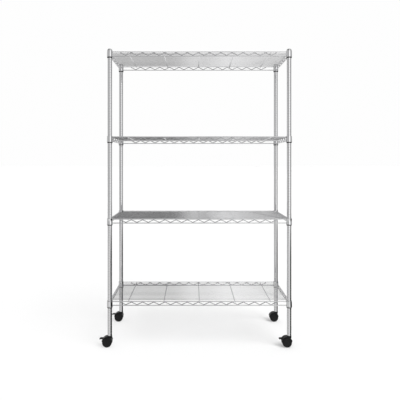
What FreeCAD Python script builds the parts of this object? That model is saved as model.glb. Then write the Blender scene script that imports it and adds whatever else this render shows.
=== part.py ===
"""Four-shelf wire shelving rack on hooded twin-wheel casters.

Millimetres, +Z up.  The origin lies on the floor at the middle of the rack.  X runs along
the shelves, -Y is the front.  Four grooved tube posts carry four wire shelves.  Each shelf
has a tapered collar at every corner that wedges down over a split plastic sleeve, and the
sleeve's rib sits in one of the post's grooves.  Every piece is written as its own STEP file.
"""

import FreeCAD, Part
import math
import os

INCH = 25.4

# Layout of the rack
post_pitch_x = 885.0
post_pitch_y = 328.0
caster_height = 55.5
corners = {
    "front_left": (-1, -1),
    "front_right": (1, -1),
    "rear_left": (-1, 1),
    "rear_right": (1, 1),
}
braked_corners = ("front_left", "front_right", "rear_left")

# Post: tube with fine ring grooves, two to the inch
post_length = 1401.5
post_radius = 11.0
post_wall = 1.2
groove_pitch = INCH / 2
groove_count = 110
first_groove = 11.4
groove_half_width = 0.6
groove_depth = 0.25
shelf_grooves = (11, 43, 75, 108)

# Post cap: full-shouldered dome, a superellipse in section, with a ribbed plug
cap_radius = 13.0
cap_height = 11.6
cap_lip = 0.6
cap_fullness = 2.5
cap_arc_count = 10
plug_length = 12.0
plug_wall = 1.5
plug_rib_count = 3
plug_rib_half_width = 0.8

# Threaded insert pressed into the post's lower end
insert_length = 25.0
insert_chamfer = 1.0

# Shelf truss, measured from the centreline of its lower rail
rail_diameter = 5.0
rail_spacing = 19.2
side_rail_offset = 2.5
snake_diameter = 4.2
snake_pitch = 55.2
snake_bend_radius = 5.0
snake_weld_depth = 0.8
long_snake_waves = 14
short_snake_waves = 4
front_snake_shift = -4.5
cross_wire_diameter = 4.4
cross_wire_spacing = 176.4
cross_wire_count = 5
cross_wire_weld_depth = 0.6
cross_wire_setback = 1.3
deck_wire_diameter = 3.0
deck_wire_spacing = 19.2
deck_wire_count = 15
weld_depth = 0.3

# Corner collar and split sleeve, heights from the lower rail's centreline
collar_bottom = -6.8
collar_top = 23.3
collar_radius_bottom = 14.2
collar_radius_top = 13.6
collar_lip = 1.2
collar_lip_roll = 0.6
collar_lip_shoulder = (0.15, 0.3)
sleeve_bottom = -11.0
sleeve_top = 23.3
sleeve_foot = 3.9
sleeve_foot_radius = 13.1
sleeve_radius_low = 12.75
sleeve_radius_high = 12.15
sleeve_rib_height = 5.0
sleeve_rib_depth = 0.2
sleeve_rib_half_width = 0.5
sleeve_split = 0.8
taper_clearance = 0.06
running_clearance = 0.05

# Caster stem and its retaining ring
stem_radius = 4.75
stem_thread_length = 22.0
stem_flange_radius = 9.0
stem_flange_height = 2.0
stem_socket_floor = 30.5
stem_bottom = 31.0
stem_chamfer = 0.8
ring_height = 34.5
ring_half_width = 0.9
ring_inner_radius = 4.25
ring_outer_radius = 5.4
ring_recess_radius = 5.6
ring_recess_half_width = 1.3
ring_gap = 2.5
stem_groove_radius = 4.2
stem_groove_half_width = 1.0

# Caster wheels and axle, with radii about the axle and offsets from the caster's mid-plane
trail = 12.2
wheel_radius = 23.5
wheel_inner_face = 7.6
wheel_tread_edge = 13.0
wheel_shoulder = (22.3, 17.6)
wheel_face_edge = (19.0, 20.0)
wheel_rim_inner = 19.0
wheel_rim_lip = 22.6
wheel_tread_start = 8.6
wheel_cup_depth = 16.4
wheel_dish_radius = 16.4
wheel_dish_face = 18.9
wheel_boss_radius = 6.2
wheel_boss_top_radius = 5.0
wheel_boss_face = 20.3
brake_drum_radius = 10.3
axle_radius = 3.0
axle_half_length = 17.6
bore_half_length = 17.9
axle_chamfer = 0.5
snap_groove = (14.6, 16.4)
snap_groove_radius = 2.5
snap_ridge = (15.0, 16.0)
snap_ridge_radius = 2.62

# Caster hood
hood_radius = 27.0
hood_front = 12.6
hood_crown_half_width = 11.0
hood_shoulder = (25.4, 17.2)
hood_side_edge = (21.6, 21.3)
hood_skirt_height = 29.5
hood_web_half_width = 7.0
hood_web_radius = 18.0
hood_boss_radius = 11.5
hood_boss_start = 43.0
hood_boss_chamfer = 1.2
cavity_radius = 24.6
cavity_tread_edge = 13.0
cavity_shoulder = (23.5, 18.0)
cavity_side_edge = (20.6, 20.8)
cavity_reach = 30.0
swivel_gap = 0.1

# Brake lever, positions from the swivel axis and the floor
lever_pivot = (-25.5, 37.5)
lever_shoe = (-25.0, 29.3)
lever_tab_root = (-31.5, 40.8)
lever_tab_bend = (-41.0, 42.0)
lever_tab_tip = (-50.0, 40.3)
lever_thickness = 4.8
lever_arm_half_width = 4.3
lever_tab_half_width = 7.0
lever_hub_radius = 3.3
lever_arm_radius = 2.0
lever_trunnion_radius = 1.75
lever_trunnion_reach = 6.8
lever_shoe_radius = 1.6
lever_shoe_reach = 12.5
lever_slot_half_width = 4.5
lever_slot_x = (-45.0, -19.5)
lever_slot_z = (25.5, 43.5)
lever_mouth_half_width = 7.5
lever_mouth_x = (-45.0, -29.5)
lever_mouth_z = (32.5, 45.0)
lever_window_x = (-28.5, -19.5)
lever_window_z = (26.0, 32.5)

post_bottom = caster_height
post_top = post_bottom + post_length
post_bore = post_radius - post_wall
shelf_levels = [
    post_bottom + first_groove + number * groove_pitch - sleeve_rib_height
    for number in shelf_grooves
]
top_rail = rail_spacing
snake_inset = (rail_diameter + snake_diameter) / 2 - snake_weld_depth
snake_height = rail_spacing - 2 * snake_inset
cross_level = top_rail - (rail_diameter + cross_wire_diameter) / 2 + cross_wire_weld_depth
deck_level = cross_level + (cross_wire_diameter + deck_wire_diameter) / 2 - weld_depth
half_x = post_pitch_x / 2
side_x = half_x + side_rail_offset
half_y = post_pitch_y / 2

UP = FreeCAD.Vector(0, 0, 1)
ALONG = FreeCAD.Vector(1, 0, 0)
BACK = FreeCAD.Vector(0, 1, 0)
ORIGIN = FreeCAD.Vector(0, 0, 0)


def outline_face(place, steps):
    """Face inside a closed outline.  A step is a corner, or (through, end) for an arc."""
    edges = []
    start = place(*steps[0])
    here = start
    for step in steps[1:]:
        if isinstance(step[0], tuple):
            through = place(*step[0])
            end = place(*step[1])
            edges.append(Part.Arc(here, through, end).toShape())
        else:
            end = place(*step)
            edges.append(Part.makeLine(here, end))
        here = end
    edges.append(Part.makeLine(here, start))
    return Part.Face(Part.Wire(edges))


def turned(steps):
    """Solid of revolution about Z from (radius, height) steps."""
    face = outline_face(lambda radius, height: FreeCAD.Vector(radius, 0, height), steps)
    return face.revolve(ORIGIN, UP, 360)


def turned_on_axle(steps):
    """Solid of revolution about the axle from (radius, offset from the mid-plane) steps."""
    def place(radius, offset):
        return FreeCAD.Vector(-trail, offset, wheel_radius + radius)

    centre = FreeCAD.Vector(-trail, 0, wheel_radius)
    return outline_face(place, steps).revolve(centre, BACK, 360)


def rod(start, end, diameter):
    """Straight round wire between two points."""
    run = end.sub(start)
    return Part.makeCylinder(diameter / 2, run.Length, start, run)


def block(x_range, half_width, z_range):
    """Block centred on the mid-plane."""
    size = (x_range[1] - x_range[0], 2 * half_width, z_range[1] - z_range[0])
    return Part.makeBox(*size, FreeCAD.Vector(x_range[0], -half_width, z_range[0]))


def cross_bar(place, radius, reach):
    """Round bar along Y, centred on the mid-plane at (x, z)."""
    start = FreeCAD.Vector(place[0], -reach, place[1])
    return Part.makeCylinder(radius, 2 * reach, start, BACK)


def moved(shape, x, y, z):
    copy = shape.copy()
    copy.translate(FreeCAD.Vector(x, y, z))
    return copy


def at_corners(shape, z):
    """One copy of the shape on every post axis."""
    return [moved(shape, sx * half_x, sy * half_y, z) for sx, sy in corners.values()]


def post():
    """Hollow post standing on z = 0, with rounded grooves two to the inch."""
    steps = [(post_bore, 0), (post_radius, 0)]
    for number in range(groove_count):
        middle = first_groove + number * groove_pitch
        steps.append((post_radius, middle - groove_half_width))
        bottom = (post_radius - groove_depth, middle)
        steps.append((bottom, (post_radius, middle + groove_half_width)))
    steps.append((post_radius, post_length))
    steps.append((post_bore, post_length))
    return turned(steps)


def dome_point(share):
    """Point (radius, height) on the dome's outline, share 0 at the crown and 1 at the rim."""
    angle = math.pi / 2 * (1 - share)
    radius = cap_radius * math.cos(angle) ** (2 / cap_fullness)
    height = cap_lip + (cap_height - cap_lip) * math.sin(angle) ** (2 / cap_fullness)
    return radius, height


def post_cap():
    """Domed cap sitting on the post's end, z = 0, with a hollow ribbed plug below."""
    plug_radius = post_bore - 2 * running_clearance
    steps = [(0, 0), (0, cap_height)]
    for number in range(1, cap_arc_count + 1):
        through = dome_point((number - 0.5) / cap_arc_count)
        end = dome_point(number / cap_arc_count)
        steps.append((through, end))
    steps.append((cap_radius, 0))
    steps.append((plug_radius, 0))
    rib_pitch = plug_length / (plug_rib_count + 1)
    for number in range(1, plug_rib_count + 1):
        middle = -number * rib_pitch
        steps.append((plug_radius, middle + plug_rib_half_width))
        rib = (post_bore - running_clearance / 2, middle)
        steps.append((rib, (plug_radius, middle - plug_rib_half_width)))
    steps.append((plug_radius, -plug_length))
    steps.append((plug_radius - plug_wall, -plug_length))
    steps.append((plug_radius - plug_wall, 0))
    return turned(steps)


def post_insert():
    """Plug with a threaded bore, flush with the post's lower end at z = 0."""
    outer = post_bore - running_clearance / 2
    bore = stem_radius + running_clearance
    steps = [
        (bore, 0),
        (outer, 0),
        (outer, insert_length - insert_chamfer),
        (outer - insert_chamfer, insert_length),
        (bore, insert_length),
    ]
    return turned(steps)


def sleeve_wall_radius(height):
    """Outer radius of the sleeve's taper at a height from the lower rail."""
    low = sleeve_bottom + sleeve_foot
    share = (height - low) / (sleeve_top - low)
    return sleeve_radius_low + (sleeve_radius_high - sleeve_radius_low) * share


def collar():
    """Tapered corner collar with rolled lips."""
    inner_low = sleeve_wall_radius(collar_bottom) + taper_clearance
    inner_high = sleeve_wall_radius(collar_top) + taper_clearance
    shoulder_in, shoulder_height = collar_lip_shoulder
    steps = [
        (inner_low, collar_bottom),
        (collar_radius_bottom - collar_lip_roll, collar_bottom),
        (
            (collar_radius_bottom - shoulder_in, collar_bottom + shoulder_height),
            (collar_radius_bottom, collar_bottom + collar_lip),
        ),
        (collar_radius_top, collar_top - collar_lip),
        (
            (collar_radius_top - shoulder_in, collar_top - shoulder_height),
            (collar_radius_top - collar_lip_roll, collar_top),
        ),
        (inner_high, collar_top),
    ]
    return turned(steps)


def split_sleeve():
    """Tapered sleeve with a foot, an inner rib for the post's groove, split in two halves."""
    inner = post_radius + running_clearance
    foot_top = sleeve_bottom + sleeve_foot
    rib_low = sleeve_rib_height - sleeve_rib_half_width
    rib_high = sleeve_rib_height + sleeve_rib_half_width
    steps = [
        (inner, sleeve_bottom),
        (sleeve_foot_radius, sleeve_bottom),
        (sleeve_foot_radius, foot_top),
        (sleeve_radius_low, foot_top),
        (sleeve_radius_high, sleeve_top),
        (inner, sleeve_top),
        (inner, rib_high),
        ((inner - sleeve_rib_depth, sleeve_rib_height), (inner, rib_low)),
    ]
    reach = 2 * sleeve_foot_radius
    gap = Part.makeBox(
        sleeve_split,
        2 * reach,
        2 * reach + sleeve_top - sleeve_bottom,
        FreeCAD.Vector(-sleeve_split / 2, -reach, sleeve_bottom - reach),
    )
    return turned(steps).cut(gap)


def shelf_rails(level):
    """Upper and lower rails on all four sides, with their ends in the collar walls."""
    collar_hold = collar_radius_top - weld_depth
    end_x = half_x - collar_hold
    end_y = half_y - collar_hold
    solids = []
    for z in (level, level + top_rail):
        for side in (-1, 1):
            y = side * half_y
            x = side * side_x
            long_ends = (FreeCAD.Vector(-end_x, y, z), FreeCAD.Vector(end_x, y, z))
            short_ends = (FreeCAD.Vector(x, -end_y, z), FreeCAD.Vector(x, end_y, z))
            solids.append(rod(*long_ends, rail_diameter))
            solids.append(rod(*short_ends, rail_diameter))
    return solids


def snake_wire(waves):
    """Zigzag wire in the XZ plane between z = 0 and its full height, with round bends."""
    half_wave = snake_pitch / 2
    bend = snake_bend_radius
    drop = snake_height - 2 * bend
    slope = math.atan2(drop, half_wave) + math.asin(2 * bend / math.hypot(half_wave, drop))
    reach = bend * math.sin(slope)
    fall = bend * (1 - math.cos(slope))
    edges = []
    last = 2 * waves
    previous = None
    for number in range(last + 1):
        x = (number - waves) * half_wave
        at_top = number % 2 == 0
        apex = FreeCAD.Vector(x, 0, snake_height if at_top else 0)
        side_z = apex.z - fall if at_top else apex.z + fall
        before = FreeCAD.Vector(x - reach, 0, side_z)
        after = FreeCAD.Vector(x + reach, 0, side_z)
        if previous is None:
            centre = FreeCAD.Vector(x, 0, apex.z - bend)
            edges.append(half_bend(apex, after, centre, bend))
        elif number == last:
            edges.append(Part.makeLine(previous, before))
            centre = FreeCAD.Vector(x, 0, apex.z - bend)
            edges.append(half_bend(before, apex, centre, bend))
        else:
            edges.append(Part.makeLine(previous, before))
            edges.append(Part.Arc(before, apex, after).toShape())
        previous = after
    path = Part.Wire(edges)
    start = FreeCAD.Vector(-waves * half_wave, 0, snake_height)
    ring = Part.Wire(Part.makeCircle(snake_diameter / 2, start, ALONG))
    return path.makePipeShell([ring], True, True)


def half_bend(start, end, centre, bend):
    """Arc from start to end about a bend's centre."""
    middle = start.add(end).multiply(0.5).sub(centre)
    middle.normalize()
    return Part.Arc(start, centre.add(middle.multiply(bend)), end).toShape()


def shelf_snakes(level):
    """Zigzag wires between the upper and lower rails on all four sides."""
    z = level + snake_inset
    long_wire = snake_wire(long_snake_waves)
    short_wire = snake_wire(short_snake_waves)
    short_wire.rotate(ORIGIN, UP, 90)
    return [
        moved(long_wire, front_snake_shift, -half_y, z),
        moved(long_wire, 0, half_y, z),
        moved(short_wire, -side_x, 0, z),
        moved(short_wire, side_x, 0, z),
    ]


def shelf_cross_wires(level):
    """Front-to-back wires, their ends welded under the inner edges of the top rails."""
    reach = half_y - cross_wire_setback
    z = level + cross_level
    solids = []
    for number in range(cross_wire_count):
        x = (number - (cross_wire_count - 1) / 2) * cross_wire_spacing
        ends = (FreeCAD.Vector(x, -reach, z), FreeCAD.Vector(x, reach, z))
        solids.append(rod(*ends, cross_wire_diameter))
    return solids


def shelf_deck_wires(level):
    """Lengthways wires lying on the cross wires, welded to the side rails."""
    reach = side_x - rail_diameter / 2 + weld_depth
    z = level + deck_level
    solids = []
    for number in range(deck_wire_count):
        y = (number - (deck_wire_count - 1) / 2) * deck_wire_spacing
        ends = (FreeCAD.Vector(-reach, y, z), FreeCAD.Vector(reach, y, z))
        solids.append(rod(*ends, deck_wire_diameter))
    return solids


def caster_stem():
    """Stem with a flange under the post, a threaded end above it and a ring groove below."""
    flange_low = caster_height - stem_flange_height
    top = caster_height + stem_thread_length
    groove_low = ring_height - stem_groove_half_width
    groove_high = ring_height + stem_groove_half_width
    steps = [
        (0, stem_bottom),
        (stem_radius - stem_chamfer, stem_bottom),
        (stem_radius, stem_bottom + stem_chamfer),
        (stem_radius, groove_low),
        (stem_groove_radius, groove_low),
        (stem_groove_radius, groove_high),
        (stem_radius, groove_high),
        (stem_radius, flange_low),
        (stem_flange_radius, flange_low),
        (stem_flange_radius, caster_height),
        (stem_radius, caster_height),
        (stem_radius, top - stem_chamfer),
        (stem_radius - stem_chamfer, top),
        (0, top),
    ]
    return turned(steps)


def retaining_ring():
    """Open spring ring in the stem's groove."""
    low = ring_height - ring_half_width
    high = ring_height + ring_half_width
    steps = [
        (ring_inner_radius, low),
        (ring_outer_radius, low),
        (ring_outer_radius, high),
        (ring_inner_radius, high),
    ]
    opening = Part.makeBox(
        ring_outer_radius,
        ring_gap,
        4 * ring_half_width,
        FreeCAD.Vector(0, -ring_gap / 2, low - ring_half_width),
    )
    return turned(steps).cut(opening)


def axle():
    """Axle pin with a snap groove near each end."""
    edge = axle_half_length
    near, far = snap_groove
    half = [
        (axle_radius, near),
        (snap_groove_radius, near),
        (snap_groove_radius, far),
        (axle_radius, far),
        (axle_radius, edge - axle_chamfer),
        (axle_radius - axle_chamfer, edge),
        (0, edge),
    ]
    other_half = [(radius, -offset) for radius, offset in reversed(half)]
    return turned_on_axle(other_half + half)


def wheel():
    """Cupped wheel on the +Y side: brake drum and blind hub inside, dished face outside."""
    bore = axle_radius + running_clearance
    near, far = snap_ridge
    steps = [
        (bore, wheel_inner_face),
        (brake_drum_radius, wheel_inner_face),
        (brake_drum_radius, wheel_cup_depth),
        (wheel_rim_inner, wheel_cup_depth),
        (wheel_rim_inner, wheel_inner_face),
        (wheel_rim_lip, wheel_inner_face),
        (wheel_radius, wheel_tread_start),
        (wheel_radius, wheel_tread_edge),
        (wheel_shoulder, wheel_face_edge),
        (wheel_dish_radius, wheel_dish_face),
        (wheel_boss_radius, wheel_dish_face),
        (wheel_boss_top_radius, wheel_boss_face),
        (0, wheel_boss_face),
        (0, bore_half_length),
        (bore, bore_half_length),
        (bore, far),
        (snap_ridge_radius, far),
        (snap_ridge_radius, near),
        (bore, near),
    ]
    return turned_on_axle(steps)


def wheel_cavity():
    """Space inside the hood for the wheel on the +Y side."""
    steps = [
        (0, hood_web_half_width),
        (cavity_radius, hood_web_half_width),
        (cavity_radius, cavity_tread_edge),
        (cavity_shoulder, cavity_side_edge),
        (cavity_side_edge[0], cavity_reach),
        (0, cavity_reach),
    ]
    return turned_on_axle(steps)


def hood_shell():
    """Domed body over the wheels, before it is hollowed."""
    crown = hood_crown_half_width
    mirrored_shoulder = (hood_shoulder[0], -hood_shoulder[1])
    mirrored_edge = (hood_side_edge[0], -hood_side_edge[1])
    steps = [
        (0, -hood_side_edge[1]),
        mirrored_edge,
        (mirrored_shoulder, (hood_radius, -crown)),
        (hood_radius, crown),
        (hood_shoulder, hood_side_edge),
        (0, hood_side_edge[1]),
    ]
    reach = 2 * hood_radius
    kept = block((-trail - reach, hood_front), reach, (hood_skirt_height, reach + hood_radius))
    return turned_on_axle(steps).common(kept)


def hood_boss():
    """Round boss about the swivel axis that meets the stem's flange."""
    top = caster_height - stem_flange_height - swivel_gap
    steps = [
        (0, hood_boss_start),
        (hood_boss_radius, hood_boss_start),
        (hood_boss_radius, top - hood_boss_chamfer),
        (hood_boss_radius - hood_boss_chamfer, top),
        (0, top),
    ]
    return turned(steps)


def stem_socket():
    """Bore for the stem with a recess for its retaining ring."""
    bore = stem_radius + running_clearance
    recess_low = ring_height - ring_recess_half_width
    recess_high = ring_height + ring_recess_half_width
    steps = [
        (0, stem_socket_floor),
        (bore, stem_socket_floor),
        (bore, recess_low),
        (ring_recess_radius, recess_low),
        (ring_recess_radius, recess_high),
        (bore, recess_high),
        (bore, caster_height),
        (0, caster_height),
    ]
    return turned(steps)


def hood(braked):
    """Hood with a central web between the wheels, and a slot for the lever when braked."""
    axle_place = (-trail, wheel_radius)
    web = cross_bar(axle_place, hood_web_radius, hood_web_half_width)
    body = hood_shell().fuse(web).fuse(hood_boss())
    cavity = wheel_cavity()
    other_cavity = cavity.mirror(ORIGIN, BACK)
    body = body.cut(cavity).cut(other_cavity)
    body = body.cut(cross_bar(axle_place, axle_radius, cavity_reach))
    body = body.cut(stem_socket())
    if braked:
        body = body.cut(block(lever_slot_x, lever_slot_half_width, lever_slot_z))
        body = body.cut(block(lever_mouth_x, lever_mouth_half_width, lever_mouth_z))
        body = body.cut(block(lever_window_x, hood_web_half_width, lever_window_z))
        hole = lever_trunnion_radius + running_clearance
        body = body.cut(cross_bar(lever_pivot, hole, hood_web_half_width))
    return body.removeSplitter()


def lever_plate(path, thickness, half_width):
    """Curved plate along an arc through three (x, z) points, its thickness below the arc."""
    start, bend, tip = path
    steps = [
        start,
        (bend, tip),
        (tip[0], tip[1] - thickness),
        ((bend[0], bend[1] - thickness), (start[0], start[1] - thickness)),
    ]
    face = outline_face(lambda x, z: FreeCAD.Vector(x, -half_width, z), steps)
    return face.extrude(FreeCAD.Vector(0, 2 * half_width, 0))


def lever_link(start, end, radius, half_width):
    """Straight flat link between two (x, z) points."""
    first = FreeCAD.Vector(start[0], -half_width, start[1])
    second = FreeCAD.Vector(end[0], -half_width, end[1])
    run = second.sub(first)
    side = run.cross(BACK).normalize().multiply(radius)
    rim = [first.add(side), second.add(side), second.sub(side), first.sub(side)]
    face = Part.Face(Part.makePolygon(rim + rim[:1]))
    return face.extrude(FreeCAD.Vector(0, 2 * half_width, 0))


def brake_lever():
    """Foot tab, arm, integral trunnions and the shoe bar that meets both wheels' drums."""
    tab_path = (lever_tab_root, lever_tab_bend, lever_tab_tip)
    tab = lever_plate(tab_path, lever_thickness, lever_tab_half_width)
    hub = cross_bar(lever_pivot, lever_hub_radius, lever_arm_half_width)
    middle = (lever_tab_root[0], lever_tab_root[1] - lever_thickness / 2)
    upper = lever_link(lever_pivot, middle, lever_thickness / 2, lever_arm_half_width)
    lower = lever_link(lever_pivot, lever_shoe, lever_arm_radius, lever_arm_half_width)
    trunnions = cross_bar(lever_pivot, lever_trunnion_radius, lever_trunnion_reach)
    shoe = cross_bar(lever_shoe, lever_shoe_radius, lever_shoe_reach)
    foot = cross_bar(lever_shoe, lever_arm_radius, lever_arm_half_width)
    body = tab.fuse([hub, upper, lower, trunnions, shoe, foot])
    return body.removeSplitter()


def export(name, solids):
    """Write one node.  A node of several identical pieces is a group of separate solids."""
    shape = solids[0] if len(solids) == 1 else Part.makeCompound(solids)
    shape.exportStep(os.path.join("parts", name + ".step"))


def export_shelves():
    corner_collar = collar()
    sleeve = split_sleeve()
    for number, level in enumerate(shelf_levels, start=1):
        name = "shelf_%d_" % number
        halves = [half for copy in at_corners(sleeve, level) for half in copy.Solids]
        export(name + "collars", at_corners(corner_collar, level))
        export(name + "split_sleeves", halves)
        export(name + "rails", shelf_rails(level))
        export(name + "snake_wires", shelf_snakes(level))
        export(name + "cross_wires", shelf_cross_wires(level))
        export(name + "deck_wires", shelf_deck_wires(level))


def export_posts():
    tube = post()
    dome = post_cap()
    for name, (sx, sy) in corners.items():
        x = sx * half_x
        y = sy * half_y
        export("post_" + name, [moved(tube, x, y, post_bottom)])
        export("post_cap_" + name, [moved(dome, x, y, post_top)])
    export("post_inserts", at_corners(post_insert(), post_bottom))


def export_casters():
    rear_wheel = wheel()
    front_wheel = rear_wheel.mirror(ORIGIN, BACK)
    lever = brake_lever()
    pieces = {
        "stem": caster_stem(),
        "axle": axle(),
        "wheel_front": front_wheel,
        "wheel_rear": rear_wheel,
    }
    for corner, (sx, sy) in corners.items():
        x = sx * half_x
        y = sy * half_y
        braked = corner in braked_corners
        name = "caster_%s_" % corner
        for piece, shape in pieces.items():
            export(name + piece, [moved(shape, x, y, 0)])
        export(name + "hood", [moved(hood(braked), x, y, 0)])
        if braked:
            export(name + "brake_lever", [moved(lever, x, y, 0)])
    export("stem_retaining_rings", at_corners(retaining_ring(), 0))


os.makedirs("parts", exist_ok=True)
export_shelves()
export_posts()
export_casters()
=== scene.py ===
"""Looks of the wire shelving rack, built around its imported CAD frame.  Metres, +Z up."""
import math

import bpy
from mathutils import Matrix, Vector


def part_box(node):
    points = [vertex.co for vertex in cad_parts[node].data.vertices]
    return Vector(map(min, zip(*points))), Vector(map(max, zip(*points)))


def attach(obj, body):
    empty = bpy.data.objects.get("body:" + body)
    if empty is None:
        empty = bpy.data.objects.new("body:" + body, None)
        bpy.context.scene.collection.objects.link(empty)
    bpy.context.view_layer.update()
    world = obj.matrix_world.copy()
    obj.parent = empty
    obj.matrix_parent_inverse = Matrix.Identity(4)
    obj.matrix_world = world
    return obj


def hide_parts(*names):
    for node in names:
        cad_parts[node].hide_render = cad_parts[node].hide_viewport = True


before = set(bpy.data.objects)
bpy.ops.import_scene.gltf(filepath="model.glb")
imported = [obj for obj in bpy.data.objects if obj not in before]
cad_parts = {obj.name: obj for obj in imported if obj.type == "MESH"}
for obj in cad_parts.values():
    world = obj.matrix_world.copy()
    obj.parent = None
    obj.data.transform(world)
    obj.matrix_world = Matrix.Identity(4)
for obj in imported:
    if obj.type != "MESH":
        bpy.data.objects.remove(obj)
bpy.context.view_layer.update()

MM = 0.001
SHELVES = (1, 2, 3, 4)
CORNERS = ("front_left", "front_right", "rear_left", "rear_right")
ROOT = "rack"


# --------------------------------------------------------------------------------------
# Measures taken from the frame
# --------------------------------------------------------------------------------------

def middle(node):
    low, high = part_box(node)
    return (low + high) / 2


def top_corner(node):
    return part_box(node)[1]


POST = {corner: middle("post_" + corner) for corner in CORNERS}
POST_LOW, POST_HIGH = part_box("post_front_right")
POST_RADIUS = (POST_HIGH.x - POST_LOW.x) / 2
HALF_X = POST["front_right"].x
HALF_Y = POST["rear_right"].y
RAIL_RADIUS = top_corner("shelf_1_rails").y - HALF_Y
SIDE_X = top_corner("shelf_1_rails").x - RAIL_RADIUS
SNAKE_RADIUS = top_corner("shelf_1_snake_wires").y - HALF_Y
COLLAR_RADIUS = top_corner("shelf_1_collars").x - HALF_X
SLEEVE_FOOT_RADIUS = top_corner("shelf_1_split_sleeves").x - HALF_X


# --------------------------------------------------------------------------------------
# Sizes that the boxes don't give
# --------------------------------------------------------------------------------------

POST_WALL = 1.2 * MM
GROOVE_PITCH = 12.7 * MM
FIRST_GROOVE = 11.4 * MM
GROOVE_HALF_WIDTH = 0.6 * MM
GROOVE_DEPTH = 0.25 * MM

COLLAR_TAPER = 0.6 * MM
COLLAR_WALL = 1.5 * MM
COLLAR_LIP = 1.2 * MM
COLLAR_ROLL = COLLAR_LIP / 2
COLLAR_SHOULDER_IN = COLLAR_LIP / 8
COLLAR_SHOULDER_RISE = COLLAR_LIP / 4
COLLAR_HOLD = 0.8 * MM

SLEEVE_FOOT = 3.9 * MM
SLEEVE_STEP = 0.35 * MM
SLEEVE_TAPER = 0.6 * MM
SLEEVE_SPLIT = 0.8 * MM
SLEEVE_CLEARANCE = 0.05 * MM
SLEEVE_EDGE = 0.5 * MM

SNAKE_PITCH = 55.2 * MM
SNAKE_BEND = 5.0 * MM
LONG_SNAKE_WAVES = 14
SHORT_SNAKE_WAVES = 4
FRONT_SNAKE_SHIFT = -4.5 * MM
CROSS_WIRES = 5
DECK_WIRES = 15

# Ends of straight wires, as (share of the length, share of the change in radius)
WELD_FLARE = 0.7 * MM
WELD_REACH = 2.2 * MM
WELD_MARKS = ((0.0, 1.0), (0.35, 0.3), (1.0, 0.0))
WIRE_CHAMFER = 0.5 * MM
CHAMFER_MARKS = ((0.0, 1.0), (0.3, 0.3), (1.0, 0.0))

POST_SIDES = 64
COLLAR_SIDES = 64
WIRE_SIDES = 16
GROOVE_STEPS = 6
LIP_STEPS = 5
BEND_STEPS = 5
SHARP_ANGLE = math.radians(32)
FULL_TURN = 2 * math.pi


# --------------------------------------------------------------------------------------
# Studio
# --------------------------------------------------------------------------------------

# What the plated metal reflects, in linear light.  The walls' stops are (azimuth, light):
# 0 degrees lies towards the camera and positive angles to its right.
UPPER_WALL = (
    (-180, 0.66), (-160, 0.62), (-130, 0.60), (-100, 0.56), (-60, 0.48), (-30, 0.45),
    (-10, 0.46), (-3, 0.60), (10, 0.66), (20, 0.58), (40, 0.44), (60, 0.36),
    (90, 0.40), (130, 0.56), (160, 0.66), (180, 0.66),
)
LOWER_WALL = (
    (-180, 1.00), (-155, 0.95), (-140, 0.45), (-120, 0.50), (-90, 0.58), (-30, 0.62),
    (-10, 0.62), (0, 0.76), (15, 1.00), (31, 0.95), (38, 0.03), (100, 0.01),
    (140, 0.05), (155, 0.80), (180, 1.00),
)
# The ceiling's and ground's stops are (X of the reflected direction, light).
CEILING = (
    (-1.0, 0.20), (-0.15, 0.04), (-0.11, 0.12), (-0.06, 0.70), (-0.02, 0.90), (0.02, 0.66),
    (0.06, 0.34), (0.10, 0.34), (0.15, 0.62), (0.20, 0.60), (0.30, 0.40), (1.0, 0.60),
)
GROUND = (
    (-1.0, 0.20), (-0.12, 0.15), (-0.05, 0.40), (0, 0.58), (0.03, 0.52), (0.07, 0.38),
    (0.11, 0.46), (0.15, 0.80), (0.25, 0.85), (0.35, 0.40), (1.0, 0.20),
)
# Elevations in degrees over which one field gives way to the next
WALL_BREAK = (-6.0, -13.0)
CEILING_START = (20.0, 50.0)
GROUND_START = (-22.0, -45.0)

BACKGROUND = 0.99
AMBIENT = 0.74

# Softbox in front of the rack: full glow from CARD_FULL upwards
CARD_LOW = Vector((0.22, -2.06, -0.15))
CARD_HIGH = Vector((1.85, -2.06, 2.60))
CARD_FULL = 0.30
CARD_GLOW = 1.25

KEY_STRENGTH = 2.25
KEY_SPREAD = math.radians(35)
KEY_DIRECTION = Vector((-0.55, 0.45, -1.0))

FLOOR_REACH = 60.0
FLOOR_GREY = 0.80
FLOOR_GLOW = 0.25
LEFT_GLOW = 0.62
LEFT_GLOW_START = -0.25
LEFT_GLOW_FULL = -0.50

CAMERA_PLACE = Vector((-0.0364, -2.2283, 0.9178))
CAMERA_LENS = 37.62
CAMERA_SENSOR = 36.0
CAMERA_SHIFT = {"shift_x": 0.01975, "shift_y": -0.09925}
CAMERA_TOLERANCE = 0.001


# --------------------------------------------------------------------------------------
# Mesh building
# --------------------------------------------------------------------------------------

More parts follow.
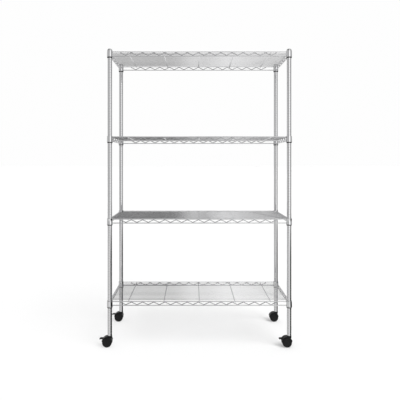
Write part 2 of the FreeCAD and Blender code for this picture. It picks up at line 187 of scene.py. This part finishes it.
class Shape:
    """Vertices and faces gathered from several closed bodies."""

    def __init__(self):
        self.points = []
        self.faces = []

    def add(self, points, faces):
        offset = len(self.points)
        self.points.extend(points)
        self.faces.extend([tuple(index + offset for index in face) for face in faces])

    def grid(self, rings, close_rings):
        """Joins equal rings of points into a tube; the ends are capped or joined together."""
        sides = len(rings[0])
        points = [point for ring in rings for point in ring]
        faces = []
        spans = len(rings) if close_rings else len(rings) - 1
        for row in range(spans):
            low = row * sides
            high = (row + 1) % len(rings) * sides
            for side in range(sides):
                after = (side + 1) % sides
                faces.append((low + side, low + after, high + after, high + side))
        if not close_rings:
            last = (len(rings) - 1) * sides
            faces.append(tuple(reversed(range(sides))))
            faces.append(tuple(range(last, last + sides)))
        self.add(points, faces)

    def piece(self, name, slot, material, *nodes):
        """Makes the mesh a piece of the rack that stands for the named CAD nodes."""
        mesh = bpy.data.meshes.new(name)
        mesh.from_pydata([tuple(point) for point in self.points], [], self.faces)
        mesh.shade_smooth()
        mesh.set_sharp_from_angle(angle=SHARP_ANGLE)
        mesh.materials.append(material)
        made = bpy.data.objects.new(name, mesh)
        bpy.context.scene.collection.objects.link(made)
        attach(made, ROOT)
        if nodes:
            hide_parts(*nodes)


def wire_rings(path, radii):
    """Round wire along a path that stays in one upright plane."""
    count = len(path)
    rings = []
    for index, point in enumerate(path):
        ahead = path[min(index + 1, count - 1)] - path[max(index - 1, 0)]
        ahead.normalize()
        flat = Vector((ahead.x, ahead.y, 0))
        side = Vector((-flat.y, flat.x, 0)).normalized()
        up = ahead.cross(side)
        ring = []
        for step in range(WIRE_SIDES):
            angle = FULL_TURN * step / WIRE_SIDES
            ring.append(point + (side * math.cos(angle) + up * math.sin(angle)) * radii[index])
        rings.append(ring)
    return rings


def bent_wire(shape, path, radius):
    shape.grid(wire_rings(path, [radius] * len(path)), False)


def straight_wire(shape, start, end, radius, flare=0.0):
    """Straight wire; its ends are chamfered, or flared where they are welded to a collar."""
    run = end - start
    if flare:
        marks = [(along * WELD_REACH, radius + change * flare) for along, change in WELD_MARKS]
    else:
        marks = [
            (along * WIRE_CHAMFER, radius - change * WIRE_CHAMFER)
            for along, change in CHAMFER_MARKS
        ]
    path = [start + run * (along / run.length) for along, _ in marks]
    path += [end - run * (along / run.length) for along, _ in reversed(marks)]
    radii = [size for _, size in marks]
    shape.grid(wire_rings(path, radii + radii[::-1]), False)


def turned(shape, profile, sides, centre, start=0.0, sweep=FULL_TURN):
    """Solid of revolution about an upright axis from a closed (radius, height) profile."""
    full = sweep == FULL_TURN
    steps = sides if full else sides + 1
    rings = []
    for step in range(steps):
        angle = start + sweep * step / sides
        away = Vector((math.cos(angle), math.sin(angle), 0))
        ring = [centre + away * radius + Vector((0, 0, height)) for radius, height in profile]
        rings.append(ring)
    shape.grid(rings, full)


def arc_centre(start, through, end):
    """Centre of the circle through three points of a profile."""
    (ax, ay), (bx, by), (cx, cy) = start, through, end
    spread = 2 * (ax * (by - cy) + bx * (cy - ay) + cx * (ay - by))
    a_square = ax * ax + ay * ay
    b_square = bx * bx + by * by
    c_square = cx * cx + cy * cy
    x = (a_square * (by - cy) + b_square * (cy - ay) + c_square * (ay - by)) / spread
    y = (a_square * (cx - bx) + b_square * (ax - cx) + c_square * (bx - ax)) / spread
    return x, y


def nearest_turn(angle, reference):
    """The same direction as angle, within half a turn of the reference."""
    return reference + (angle - reference + math.pi) % FULL_TURN - math.pi


def arc_profile(start, through, end, steps):
    """Points (radius, height) on the arc through three points, without its first point."""
    x, y = arc_centre(start, through, end)
    radius = math.hypot(start[0] - x, start[1] - y)
    first = math.atan2(start[1] - y, start[0] - x)
    halfway = nearest_turn(math.atan2(through[1] - y, through[0] - x), first)
    last = nearest_turn(math.atan2(end[1] - y, end[0] - x), halfway)
    points = []
    for step in range(1, steps + 1):
        angle = first + (last - first) * step / steps
        points.append((x + radius * math.cos(angle), y + radius * math.sin(angle)))
    return points


# --------------------------------------------------------------------------------------
# Materials
# --------------------------------------------------------------------------------------

class Graph:
    """A node tree with short calls for adding and linking nodes."""

    def __init__(self, tree):
        self.tree = tree
        tree.nodes.clear()

    def add(self, kind, inputs=None, **settings):
        node = self.tree.nodes.new(kind)
        for name, value in settings.items():
            setattr(node, name, value)
        for name, value in (inputs or {}).items():
            if isinstance(value, bpy.types.NodeSocket):
                self.tree.links.new(value, node.inputs[name])
            else:
                node.inputs[name].default_value = value
        return node

    def math(self, operation, first, second=0.0):
        node = self.add("ShaderNodeMath", {0: first, 1: second}, operation=operation)
        return node.outputs[0]

    def ramp(self, factor, stops):
        """Grey ramp; stops are (position, value)."""
        node = self.add("ShaderNodeValToRGB", {"Fac": factor})
        elements = node.color_ramp.elements
        while len(elements) < len(stops):
            elements.new(0.5)
        for element, (position, value) in zip(elements, stops):
            element.position = position
            element.color = (value, value, value, 1)
        return node.outputs["Color"]

    def noise(self, vector, scale, detail=2.0, roughness=0.5):
        inputs = {"Vector": vector, "Scale": scale, "Detail": detail, "Roughness": roughness}
        return self.add("ShaderNodeTexNoise", inputs).outputs["Fac"]

    def span(self, value, low, high):
        """Maps 0..1 to low..high."""
        node = self.add("ShaderNodeMapRange", {"Value": value, "To Min": low, "To Max": high})
        return node.outputs["Result"]

    def smooth_step(self, value, start, end, low=0.0, high=1.0):
        """Eases from low to high while the value goes from start to end."""
        inputs = {"Value": value, "From Min": start, "From Max": end, "To Min": low, "To Max": high}
        node = self.add("ShaderNodeMapRange", inputs, interpolation_type="SMOOTHSTEP")
        return node.outputs["Result"]

    def stretch(self, vector, scale):
        node = self.add("ShaderNodeMapping", {"Vector": vector, "Scale": scale})
        return node.outputs["Vector"]

    def mix(self, factor, first, second):
        """Colour between two colours, which are sockets or (r, g, b)."""
        node = self.add("ShaderNodeMix", data_type="RGBA")
        self.tree.links.new(factor, node.inputs["Factor"])
        for name, value in (("A", first), ("B", second)):
            if isinstance(value, bpy.types.NodeSocket):
                self.tree.links.new(value, node.inputs[name])
            else:
                node.inputs[name].default_value = (*value, 1)
        return node.outputs["Result"]

    def surface(self, kind, socket):
        output = self.add(kind)
        self.tree.links.new(socket, output.inputs["Surface"])


def new_material(name):
    material = bpy.data.materials.new(name)
    material.use_nodes = True
    return material, Graph(material.node_tree)


def finish_material(graph, settings, height=None, distance=0.0):
    """Closes a material with its shader, and with bumps where a height is given."""
    shader = graph.add("ShaderNodeBsdfPrincipled", settings)
    if height is not None:
        bump = graph.add("ShaderNodeBump", {"Height": height, "Distance": distance, "Strength": 1.0})
        graph.tree.links.new(bump.outputs["Normal"], shader.inputs["Normal"])
    graph.surface("ShaderNodeOutputMaterial", shader.outputs["BSDF"])


def tint(level, blue_lift):
    """Neutral tint whose blue is a little stronger."""
    return (level, level, round(level + blue_lift, 3))


CLOUD_SCALE = 9.0
SMUDGE_SCALE = 45.0
GRAIN_SHARE = 0.6
SMUDGE_SHARE = 0.4
PATCH_SCALE = 60.0


def chrome(name, dark, light, roughness, grain, grain_depth):
    """Plated steel: cloudy tint and roughness, drawn or polished grain in the surface."""
    material, graph = new_material(name)
    place = graph.add("ShaderNodeTexCoord").outputs["Object"]
    clouds = graph.noise(place, CLOUD_SCALE, detail=3.0)
    smudges = graph.noise(place, SMUDGE_SCALE, detail=4.0, roughness=0.6)
    fine = graph.noise(graph.stretch(place, grain), 1.0, detail=3.0, roughness=0.6)
    wear = graph.math("MULTIPLY", smudges, fine)
    grain_height = graph.math("MULTIPLY", fine, GRAIN_SHARE)
    smudge_height = graph.math("MULTIPLY", smudges, SMUDGE_SHARE)
    settings = {
        "Base Color": graph.mix(clouds, dark, light),
        "Metallic": 1.0,
        "Roughness": graph.span(wear, *roughness),
    }
    finish_material(graph, settings, graph.math("ADD", grain_height, smudge_height), grain_depth)
    return material


def moulded(name, dark, light, roughness, texture_scale, texture_depth):
    """Black moulded plastic with a fine eroded texture, rubbed paler in patches."""
    material, graph = new_material(name)
    place = graph.add("ShaderNodeTexCoord").outputs["Object"]
    patches = graph.noise(place, PATCH_SCALE, detail=3.0, roughness=0.6)
    texture = graph.noise(place, texture_scale, detail=2.0, roughness=0.7)
    rub = graph.math("MULTIPLY", patches, texture)
    settings = {
        "Base Color": graph.mix(rub, dark, light),
        "Metallic": 0.0,
        "Roughness": graph.span(patches, *roughness),
        "IOR": 1.5,
        "Specular IOR Level": 0.3,
    }
    finish_material(graph, settings, texture, texture_depth)
    return material


# Plated wire copies differ in brightness only: the long bent wires' copy is darker as painted shade,
# the cross wires' copy lighter as painted light
WIRE_ROUGHNESS = (0.12, 0.22)
WIRE_GRAIN = (260, 260, 260)
WIRE_GRAIN_DEPTH = 2e-5


def plated_wire(name, dark, light):
    return chrome(name, dark, light, WIRE_ROUGHNESS, WIRE_GRAIN, WIRE_GRAIN_DEPTH)


CHROME_POST = chrome(
    "plated_tube", tint(0.80, 0.01), tint(0.86, 0.01), (0.06, 0.12), (700, 700, 18), 5e-6
)
CHROME_CAP = chrome(
    "plated_cap", tint(0.88, 0.01), tint(0.93, 0.01), (0.05, 0.10), (300, 300, 300), 1e-5
)
CHROME_COLLAR = chrome(
    "plated_collar", tint(0.82, 0.01), tint(0.90, 0.01), (0.04, 0.10), (90, 90, 900), 1e-5
)
CHROME_WIRE = plated_wire("plated_wire", tint(0.74, 0.01), tint(0.82, 0.01))
# Darker copy of the plated wire: painted shade on the long bent wires
CHROME_SNAKE_PAINTED_SHADE = plated_wire("plated_bent_wire_painted_shade", tint(0.60, 0.01), tint(0.70, 0.01))
# Lighter copy of the plated wire: painted light on the cross wires
CHROME_CROSS_PAINTED_LIGHT = plated_wire("plated_cross_wire_painted_light", tint(0.88, 0.01), tint(0.94, 0.01))
ZINC = chrome(
    "zinc_plate", (0.46, 0.47, 0.50), (0.60, 0.61, 0.64), (0.30, 0.45), (500, 500, 60), 3e-5
)
SPRING = chrome(
    "spring_steel", tint(0.16, 0.02), tint(0.26, 0.02), (0.30, 0.45), (400, 400, 400), 2e-5
)
AXLE = chrome(
    "drawn_axle", tint(0.50, 0.02), tint(0.62, 0.02), (0.20, 0.32), (600, 40, 600), 2e-5
)
SLEEVE = moulded(
    "sleeve_plastic", tint(0.004, 0.0), tint(0.012, 0.001), (0.36, 0.52), 1500.0, 3e-5
)
HOOD = moulded(
    "hood_plastic", tint(0.003, 0.0), tint(0.010, 0.001), (0.28, 0.42), 1800.0, 3e-5
)
WHEEL = moulded(
    "wheel_plastic", tint(0.004, 0.0), tint(0.012, 0.001), (0.40, 0.60), 1300.0, 4e-5
)
LEVER = moulded(
    "lever_plastic", tint(0.003, 0.0), tint(0.010, 0.001), (0.32, 0.46), 1600.0, 3e-5
)

# Materials of the CAD nodes that stay, by a part of the node's name
CAD_FINISHES = {
    "post_cap": CHROME_CAP,
    "post_inserts": ZINC,
    "_stem": ZINC,
    "stem_retaining_rings": SPRING,
    "_axle": AXLE,
    "_hood": HOOD,
    "_wheel": WHEEL,
    "_brake_lever": LEVER,
}


# --------------------------------------------------------------------------------------
# Posts, collars and sleeves
# --------------------------------------------------------------------------------------

def post_profile(length):
    """Wall of a post from its foot up, with a rounded groove at every pitch."""
    bore = POST_RADIUS - POST_WALL
    profile = [(bore, 0.0), (POST_RADIUS, 0.0)]
    groove = 0
    while FIRST_GROOVE + groove * GROOVE_PITCH + GROOVE_HALF_WIDTH < length:
        height = FIRST_GROOVE + groove * GROOVE_PITCH
        start = (POST_RADIUS, height - GROOVE_HALF_WIDTH)
        bottom = (POST_RADIUS - GROOVE_DEPTH, height)
        end = (POST_RADIUS, height + GROOVE_HALF_WIDTH)
        profile.append(start)
        profile += arc_profile(start, bottom, end, GROOVE_STEPS)
        groove += 1
    return profile + [(POST_RADIUS, length), (bore, length)]


def build_posts():
    profile = post_profile(POST_HIGH.z - POST_LOW.z)
    for corner in CORNERS:
        foot = Vector((POST[corner].x, POST[corner].y, POST_LOW.z))
        shape = Shape()
        turned(shape, profile, POST_SIDES, foot)
        shape.piece("post_%s_tube" % corner, "chrome_post", CHROME_POST, "post_" + corner)


def collar_profile(height):
    """Collar wall from its lower to its upper lip, heights from its lower edge."""
    low = COLLAR_RADIUS
    high = COLLAR_RADIUS - COLLAR_TAPER
    low_start = (low - COLLAR_ROLL, 0.0)
    low_shoulder = (low - COLLAR_SHOULDER_IN, COLLAR_SHOULDER_RISE)
    high_start = (high, height - COLLAR_LIP)
    high_shoulder = (high - COLLAR_SHOULDER_IN, height - COLLAR_SHOULDER_RISE)
    profile = [(low - COLLAR_WALL, 0.0), low_start]
    profile += arc_profile(low_start, low_shoulder, (low, COLLAR_LIP), LIP_STEPS)
    profile.append(high_start)
    profile += arc_profile(high_start, high_shoulder, (high - COLLAR_ROLL, height), LIP_STEPS)
    profile.append((high - COLLAR_WALL, height))
    return profile


def sleeve_profile(height):
    """Sleeve wall with its foot below, heights from its lower edge."""
    foot = SLEEVE_FOOT_RADIUS
    low = foot - SLEEVE_STEP
    inner = POST_RADIUS + SLEEVE_CLEARANCE
    return [
        (inner, 0.0),
        (foot - SLEEVE_EDGE, 0.0),
        (foot, SLEEVE_EDGE),
        (foot, SLEEVE_FOOT - SLEEVE_EDGE),
        (foot - SLEEVE_EDGE / 2, SLEEVE_FOOT),
        (low, SLEEVE_FOOT),
        (low - SLEEVE_TAPER, height),
        (inner, height),
    ]


def build_collars(number):
    name = "shelf_%d_" % number
    low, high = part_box(name + "collars")
    wall = collar_profile(high.z - low.z)
    collars = Shape()
    for axis in POST.values():
        turned(collars, wall, COLLAR_SIDES, Vector((axis.x, axis.y, low.z)))
    collars.piece(name + "corner_collars", "chrome_collar", CHROME_COLLAR, name + "collars")


def build_sleeves(number):
    name = "shelf_%d_" % number
    low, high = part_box(name + "split_sleeves")
    wall = sleeve_profile(high.z - low.z)
    half_gap = SLEEVE_SPLIT / 2 / POST_RADIUS
    sweep = math.pi - 2 * half_gap
    sleeves = Shape()
    for axis in POST.values():
        foot = Vector((axis.x, axis.y, low.z))
        for split in (-math.pi / 2, math.pi / 2):
            turned(sleeves, wall, COLLAR_SIDES // 2, foot, split + half_gap, sweep)
    sleeves.piece(name + "sleeve_halves", "sleeve_plastic", SLEEVE, name + "split_sleeves")


# --------------------------------------------------------------------------------------
# Shelf wires
# --------------------------------------------------------------------------------------

def snake_path(waves, height):
    """Zigzag with round bends as (along, up) points, centred, starting and ending high."""
    half_wave = SNAKE_PITCH / 2
    bend = SNAKE_BEND
    drop = height - 2 * bend
    slope = math.atan2(drop, half_wave) + math.asin(2 * bend / math.hypot(half_wave, drop))
    points = []
    last = 2 * waves
    for number in range(last + 1):
        along = (number - waves) * half_wave
        sign = 1 if number % 2 == 0 else -1
        apex = height if sign > 0 else 0.0
        first_step = 0 if number == 0 else -BEND_STEPS
        last_step = 0 if number == last else BEND_STEPS
        for step in range(first_step, last_step + 1):
            angle = slope * step / BEND_STEPS
            up = apex - sign * bend * (1 - math.cos(angle))
            points.append((along + bend * math.sin(angle), up))
    return points


def build_rails(number):
    name = "shelf_%d_rails" % number
    low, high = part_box(name)
    end_x = HALF_X - COLLAR_RADIUS + COLLAR_HOLD
    end_y = HALF_Y - COLLAR_RADIUS + COLLAR_HOLD
    shape = Shape()
    for z in (low.z + RAIL_RADIUS, high.z - RAIL_RADIUS):
        for side in (-1, 1):
            y = side * HALF_Y
            x = side * SIDE_X
            long_ends = (Vector((-end_x, y, z)), Vector((end_x, y, z)))
            short_ends = (Vector((x, -end_y, z)), Vector((x, end_y, z)))
            straight_wire(shape, *long_ends, RAIL_RADIUS, WELD_FLARE)
            straight_wire(shape, *short_ends, RAIL_RADIUS, WELD_FLARE)
    shape.piece(name + "_welded", "chrome_wire", CHROME_WIRE, name)


def build_snakes(number):
    name = "shelf_%d_snake_wires" % number
    low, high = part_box(name)
    height = high.z - low.z - 2 * SNAKE_RADIUS
    foot = low.z + SNAKE_RADIUS
    long_wires = Shape()
    for y, shift in ((-HALF_Y, FRONT_SNAKE_SHIFT), (HALF_Y, 0.0)):
        path = [
            Vector((along + shift, y, foot + up))
            for along, up in snake_path(LONG_SNAKE_WAVES, height)
        ]
        bent_wire(long_wires, path, SNAKE_RADIUS)
    # The long bent wires take the darker copy, painted shade; the side ones keep the plain plated
    # wire
    long_wires.piece(name + "_long", "chrome_wire", CHROME_SNAKE_PAINTED_SHADE, name)
    side_wires = Shape()
    for x in (-SIDE_X, SIDE_X):
        path = [
            Vector((x, along, foot + up)) for along, up in snake_path(SHORT_SNAKE_WAVES, height)
        ]
        bent_wire(side_wires, path, SNAKE_RADIUS)
    side_wires.piece(name + "_side", "chrome_wire", CHROME_WIRE)


def build_wire_row(name, across, count, material):
    """Equal straight wires side by side, spaced along the axis 0 (X) or 1 (Y)."""
    low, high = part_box(name)
    radius = (high.z - low.z) / 2
    spacing = (high[across] - low[across] - 2 * radius) / (count - 1)
    along = 1 - across
    shape = Shape()
    for number in range(count):
        start = Vector((low.x, low.y, low.z + radius))
        start[across] = low[across] + radius + number * spacing
        end = start.copy()
        end[along] = high[along]
        straight_wire(shape, start, end, radius)
    shape.piece(name + "_drawn", "chrome_wire", material, name)


def build_shelf(number):
    build_collars(number)
    build_sleeves(number)
    build_rails(number)
    build_snakes(number)
    # The cross wires take the lighter copy of the plated wire, painted light
    build_wire_row("shelf_%d_cross_wires" % number, 0, CROSS_WIRES, CHROME_CROSS_PAINTED_LIGHT)
    build_wire_row("shelf_%d_deck_wires" % number, 1, DECK_WIRES, CHROME_WIRE)


def finish_cad_nodes():
    """Gives the CAD nodes that stay their materials."""
    for name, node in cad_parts.items():
        for part, material in CAD_FINISHES.items():
            if part in name:
                node.data.materials.clear()
                node.data.materials.append(material)
                break


# --------------------------------------------------------------------------------------
# Stage, light and camera
# --------------------------------------------------------------------------------------

def stage_sheet(name, corners, material):
    """Flat four-cornered sheet that isn't part of the rack."""
    mesh = bpy.data.meshes.new(name)
    mesh.from_pydata(corners, [], [(0, 1, 2, 3)])
    mesh.materials.append(material)
    sheet = bpy.data.objects.new(name, mesh)
    bpy.context.scene.collection.objects.link(sheet)
    return sheet


def floor_material():
    """Pale floor that glows by itself, more so to the left of the rack."""
    material, graph = new_material("pale_floor")
    place = graph.add("ShaderNodeTexCoord").outputs["Object"]
    x = graph.add("ShaderNodeSeparateXYZ", {"Vector": place}).outputs["X"]
    glow = graph.smooth_step(x, LEFT_GLOW_START, LEFT_GLOW_FULL, FLOOR_GLOW, LEFT_GLOW)
    grey = graph.math("MULTIPLY", graph.math("SUBTRACT", 1.0, glow), FLOOR_GREY)
    colour = graph.add("ShaderNodeCombineColor", {"Red": grey, "Green": grey, "Blue": grey})
    settings = {
        "Base Color": colour.outputs["Color"],
        "Roughness": 1.0,
        "Specular IOR Level": 0.0,
        "Emission Color": (1, 1, 1, 1),
        "Emission Strength": glow,
    }
    finish_material(graph, settings)
    return material


def build_floor():
    reach = FLOOR_REACH
    corners = [(-reach, -reach, 0), (reach, -reach, 0), (reach, reach, 0), (-reach, reach, 0)]
    floor = stage_sheet("floor", corners, floor_material())
    floor.visible_glossy = False


def build_world():
    """Even light for matt surfaces, white for the camera, and the studio for the chrome."""
    world = bpy.data.worlds.new("studio")
    bpy.context.scene.world = world
    world.use_nodes = True
    graph = Graph(world.node_tree)
    direction = graph.add("ShaderNodeTexCoord").outputs["Generated"]
    x, y, z = graph.add("ShaderNodeSeparateXYZ", {"Vector": direction}).outputs
    azimuth = graph.math("ARCTAN2", x, graph.math("MULTIPLY", y, -1.0))
    around = graph.math("ADD", graph.math("DIVIDE", azimuth, FULL_TURN), 0.5)
    across = graph.math("ADD", graph.math("MULTIPLY", x, 0.5), 0.5)
    elevation = graph.math("ARCSINE", z)

    def share(start, end):
        return graph.smooth_step(elevation, math.radians(start), math.radians(end))

    def wall(stops):
        return graph.ramp(around, [((angle + 180) / 360, light) for angle, light in stops])

    def sheet(stops):
        return graph.ramp(across, [((place + 1) / 2, light) for place, light in stops])

    walls = graph.mix(share(*WALL_BREAK), wall(UPPER_WALL), wall(LOWER_WALL))
    above = graph.mix(share(*CEILING_START), walls, sheet(CEILING))
    room = graph.mix(share(*GROUND_START), above, sheet(GROUND))
    rays = graph.add("ShaderNodeLightPath").outputs
    seen = graph.math("MULTIPLY", rays["Is Camera Ray"], BACKGROUND - AMBIENT)
    plain = {"Color": (1, 1, 1, 1), "Strength": graph.math("ADD", seen, AMBIENT)}
    white = graph.add("ShaderNodeBackground", plain)
    glossy = graph.add("ShaderNodeBackground", {"Color": room, "Strength": 1.0})
    shaders = {0: rays["Is Glossy Ray"], 1: white.outputs[0], 2: glossy.outputs[0]}
    blend = graph.add("ShaderNodeMixShader", shaders)
    graph.surface("ShaderNodeOutputWorld", blend.outputs[0])


def build_key_light():
    light = bpy.data.lights.new("key", "SUN")
    light.energy = KEY_STRENGTH
    light.angle = KEY_SPREAD
    key = bpy.data.objects.new("key", light)
    bpy.context.scene.collection.objects.link(key)
    key.rotation_mode = "QUATERNION"
    key.rotation_quaternion = KEY_DIRECTION.to_track_quat("-Z", "Y")
    key.visible_glossy = False


def card_material():
    """Glow that fades out to nothing towards the card's lower edge."""
    material, graph = new_material("softbox")
    place = graph.add("ShaderNodeTexCoord").outputs["Object"]
    height = graph.add("ShaderNodeSeparateXYZ", {"Vector": place}).outputs["Z"]
    span = {"Value": height, "From Min": CARD_LOW.z, "From Max": CARD_FULL}
    fade = graph.add("ShaderNodeMapRange", span).outputs["Result"]
    clear = graph.add("ShaderNodeBsdfTransparent")
    glow = graph.add("ShaderNodeEmission", {"Color": (1, 1, 1, 1), "Strength": CARD_GLOW})
    blend = graph.add("ShaderNodeMixShader", {0: fade, 1: clear.outputs[0], 2: glow.outputs[0]})
    graph.surface("ShaderNodeOutputMaterial", blend.outputs[0])
    return material


def build_card():
    """Tall softbox in front and to the right, seen only in the chrome."""
    low = CARD_LOW
    high = CARD_HIGH
    corners = [
        (low.x, low.y, low.z),
        (high.x, low.y, low.z),
        (high.x, high.y, high.z),
        (low.x, high.y, high.z),
    ]
    card = stage_sheet("card", corners, card_material())
    card.visible_camera = False
    card.visible_diffuse = False
    card.visible_transmission = False
    card.visible_shadow = False


def shift_only_at_home(camera, setting, shift):
    """Shifts the lens while the camera stands at its own place, and nowhere else."""
    driver = camera.data.driver_add(setting).driver
    tests = []
    for axis in "xyz":
        variable = driver.variables.new()
        variable.name = axis
        variable.type = "TRANSFORMS"
        variable.targets[0].id = camera
        variable.targets[0].transform_type = "LOC_" + axis.upper()
        home = getattr(CAMERA_PLACE, axis)
        tests.append("abs(%s - (%.4f)) < %.3f" % (axis, home, CAMERA_TOLERANCE))
    driver.expression = "%.5f if %s else 0" % (shift, " and ".join(tests))


def build_camera():
    """Level camera that looks along +Y through a shifted lens."""
    data = bpy.data.cameras.new("camera")
    data.lens = CAMERA_LENS
    data.sensor_width = CAMERA_SENSOR
    camera = bpy.data.objects.new("camera", data)
    camera.location = CAMERA_PLACE
    camera.rotation_euler = (math.radians(90), 0, 0)
    bpy.context.scene.collection.objects.link(camera)
    bpy.context.scene.camera = camera
    for setting, shift in CAMERA_SHIFT.items():
        shift_only_at_home(camera, setting, shift)


build_posts()
for shelf in SHELVES:
    build_shelf(shelf)
finish_cad_nodes()
build_floor()
build_world()
build_key_light()
build_card()
build_camera()
bpy.context.scene.view_settings.view_transform = "Standard"
bpy.context.view_layer.update()
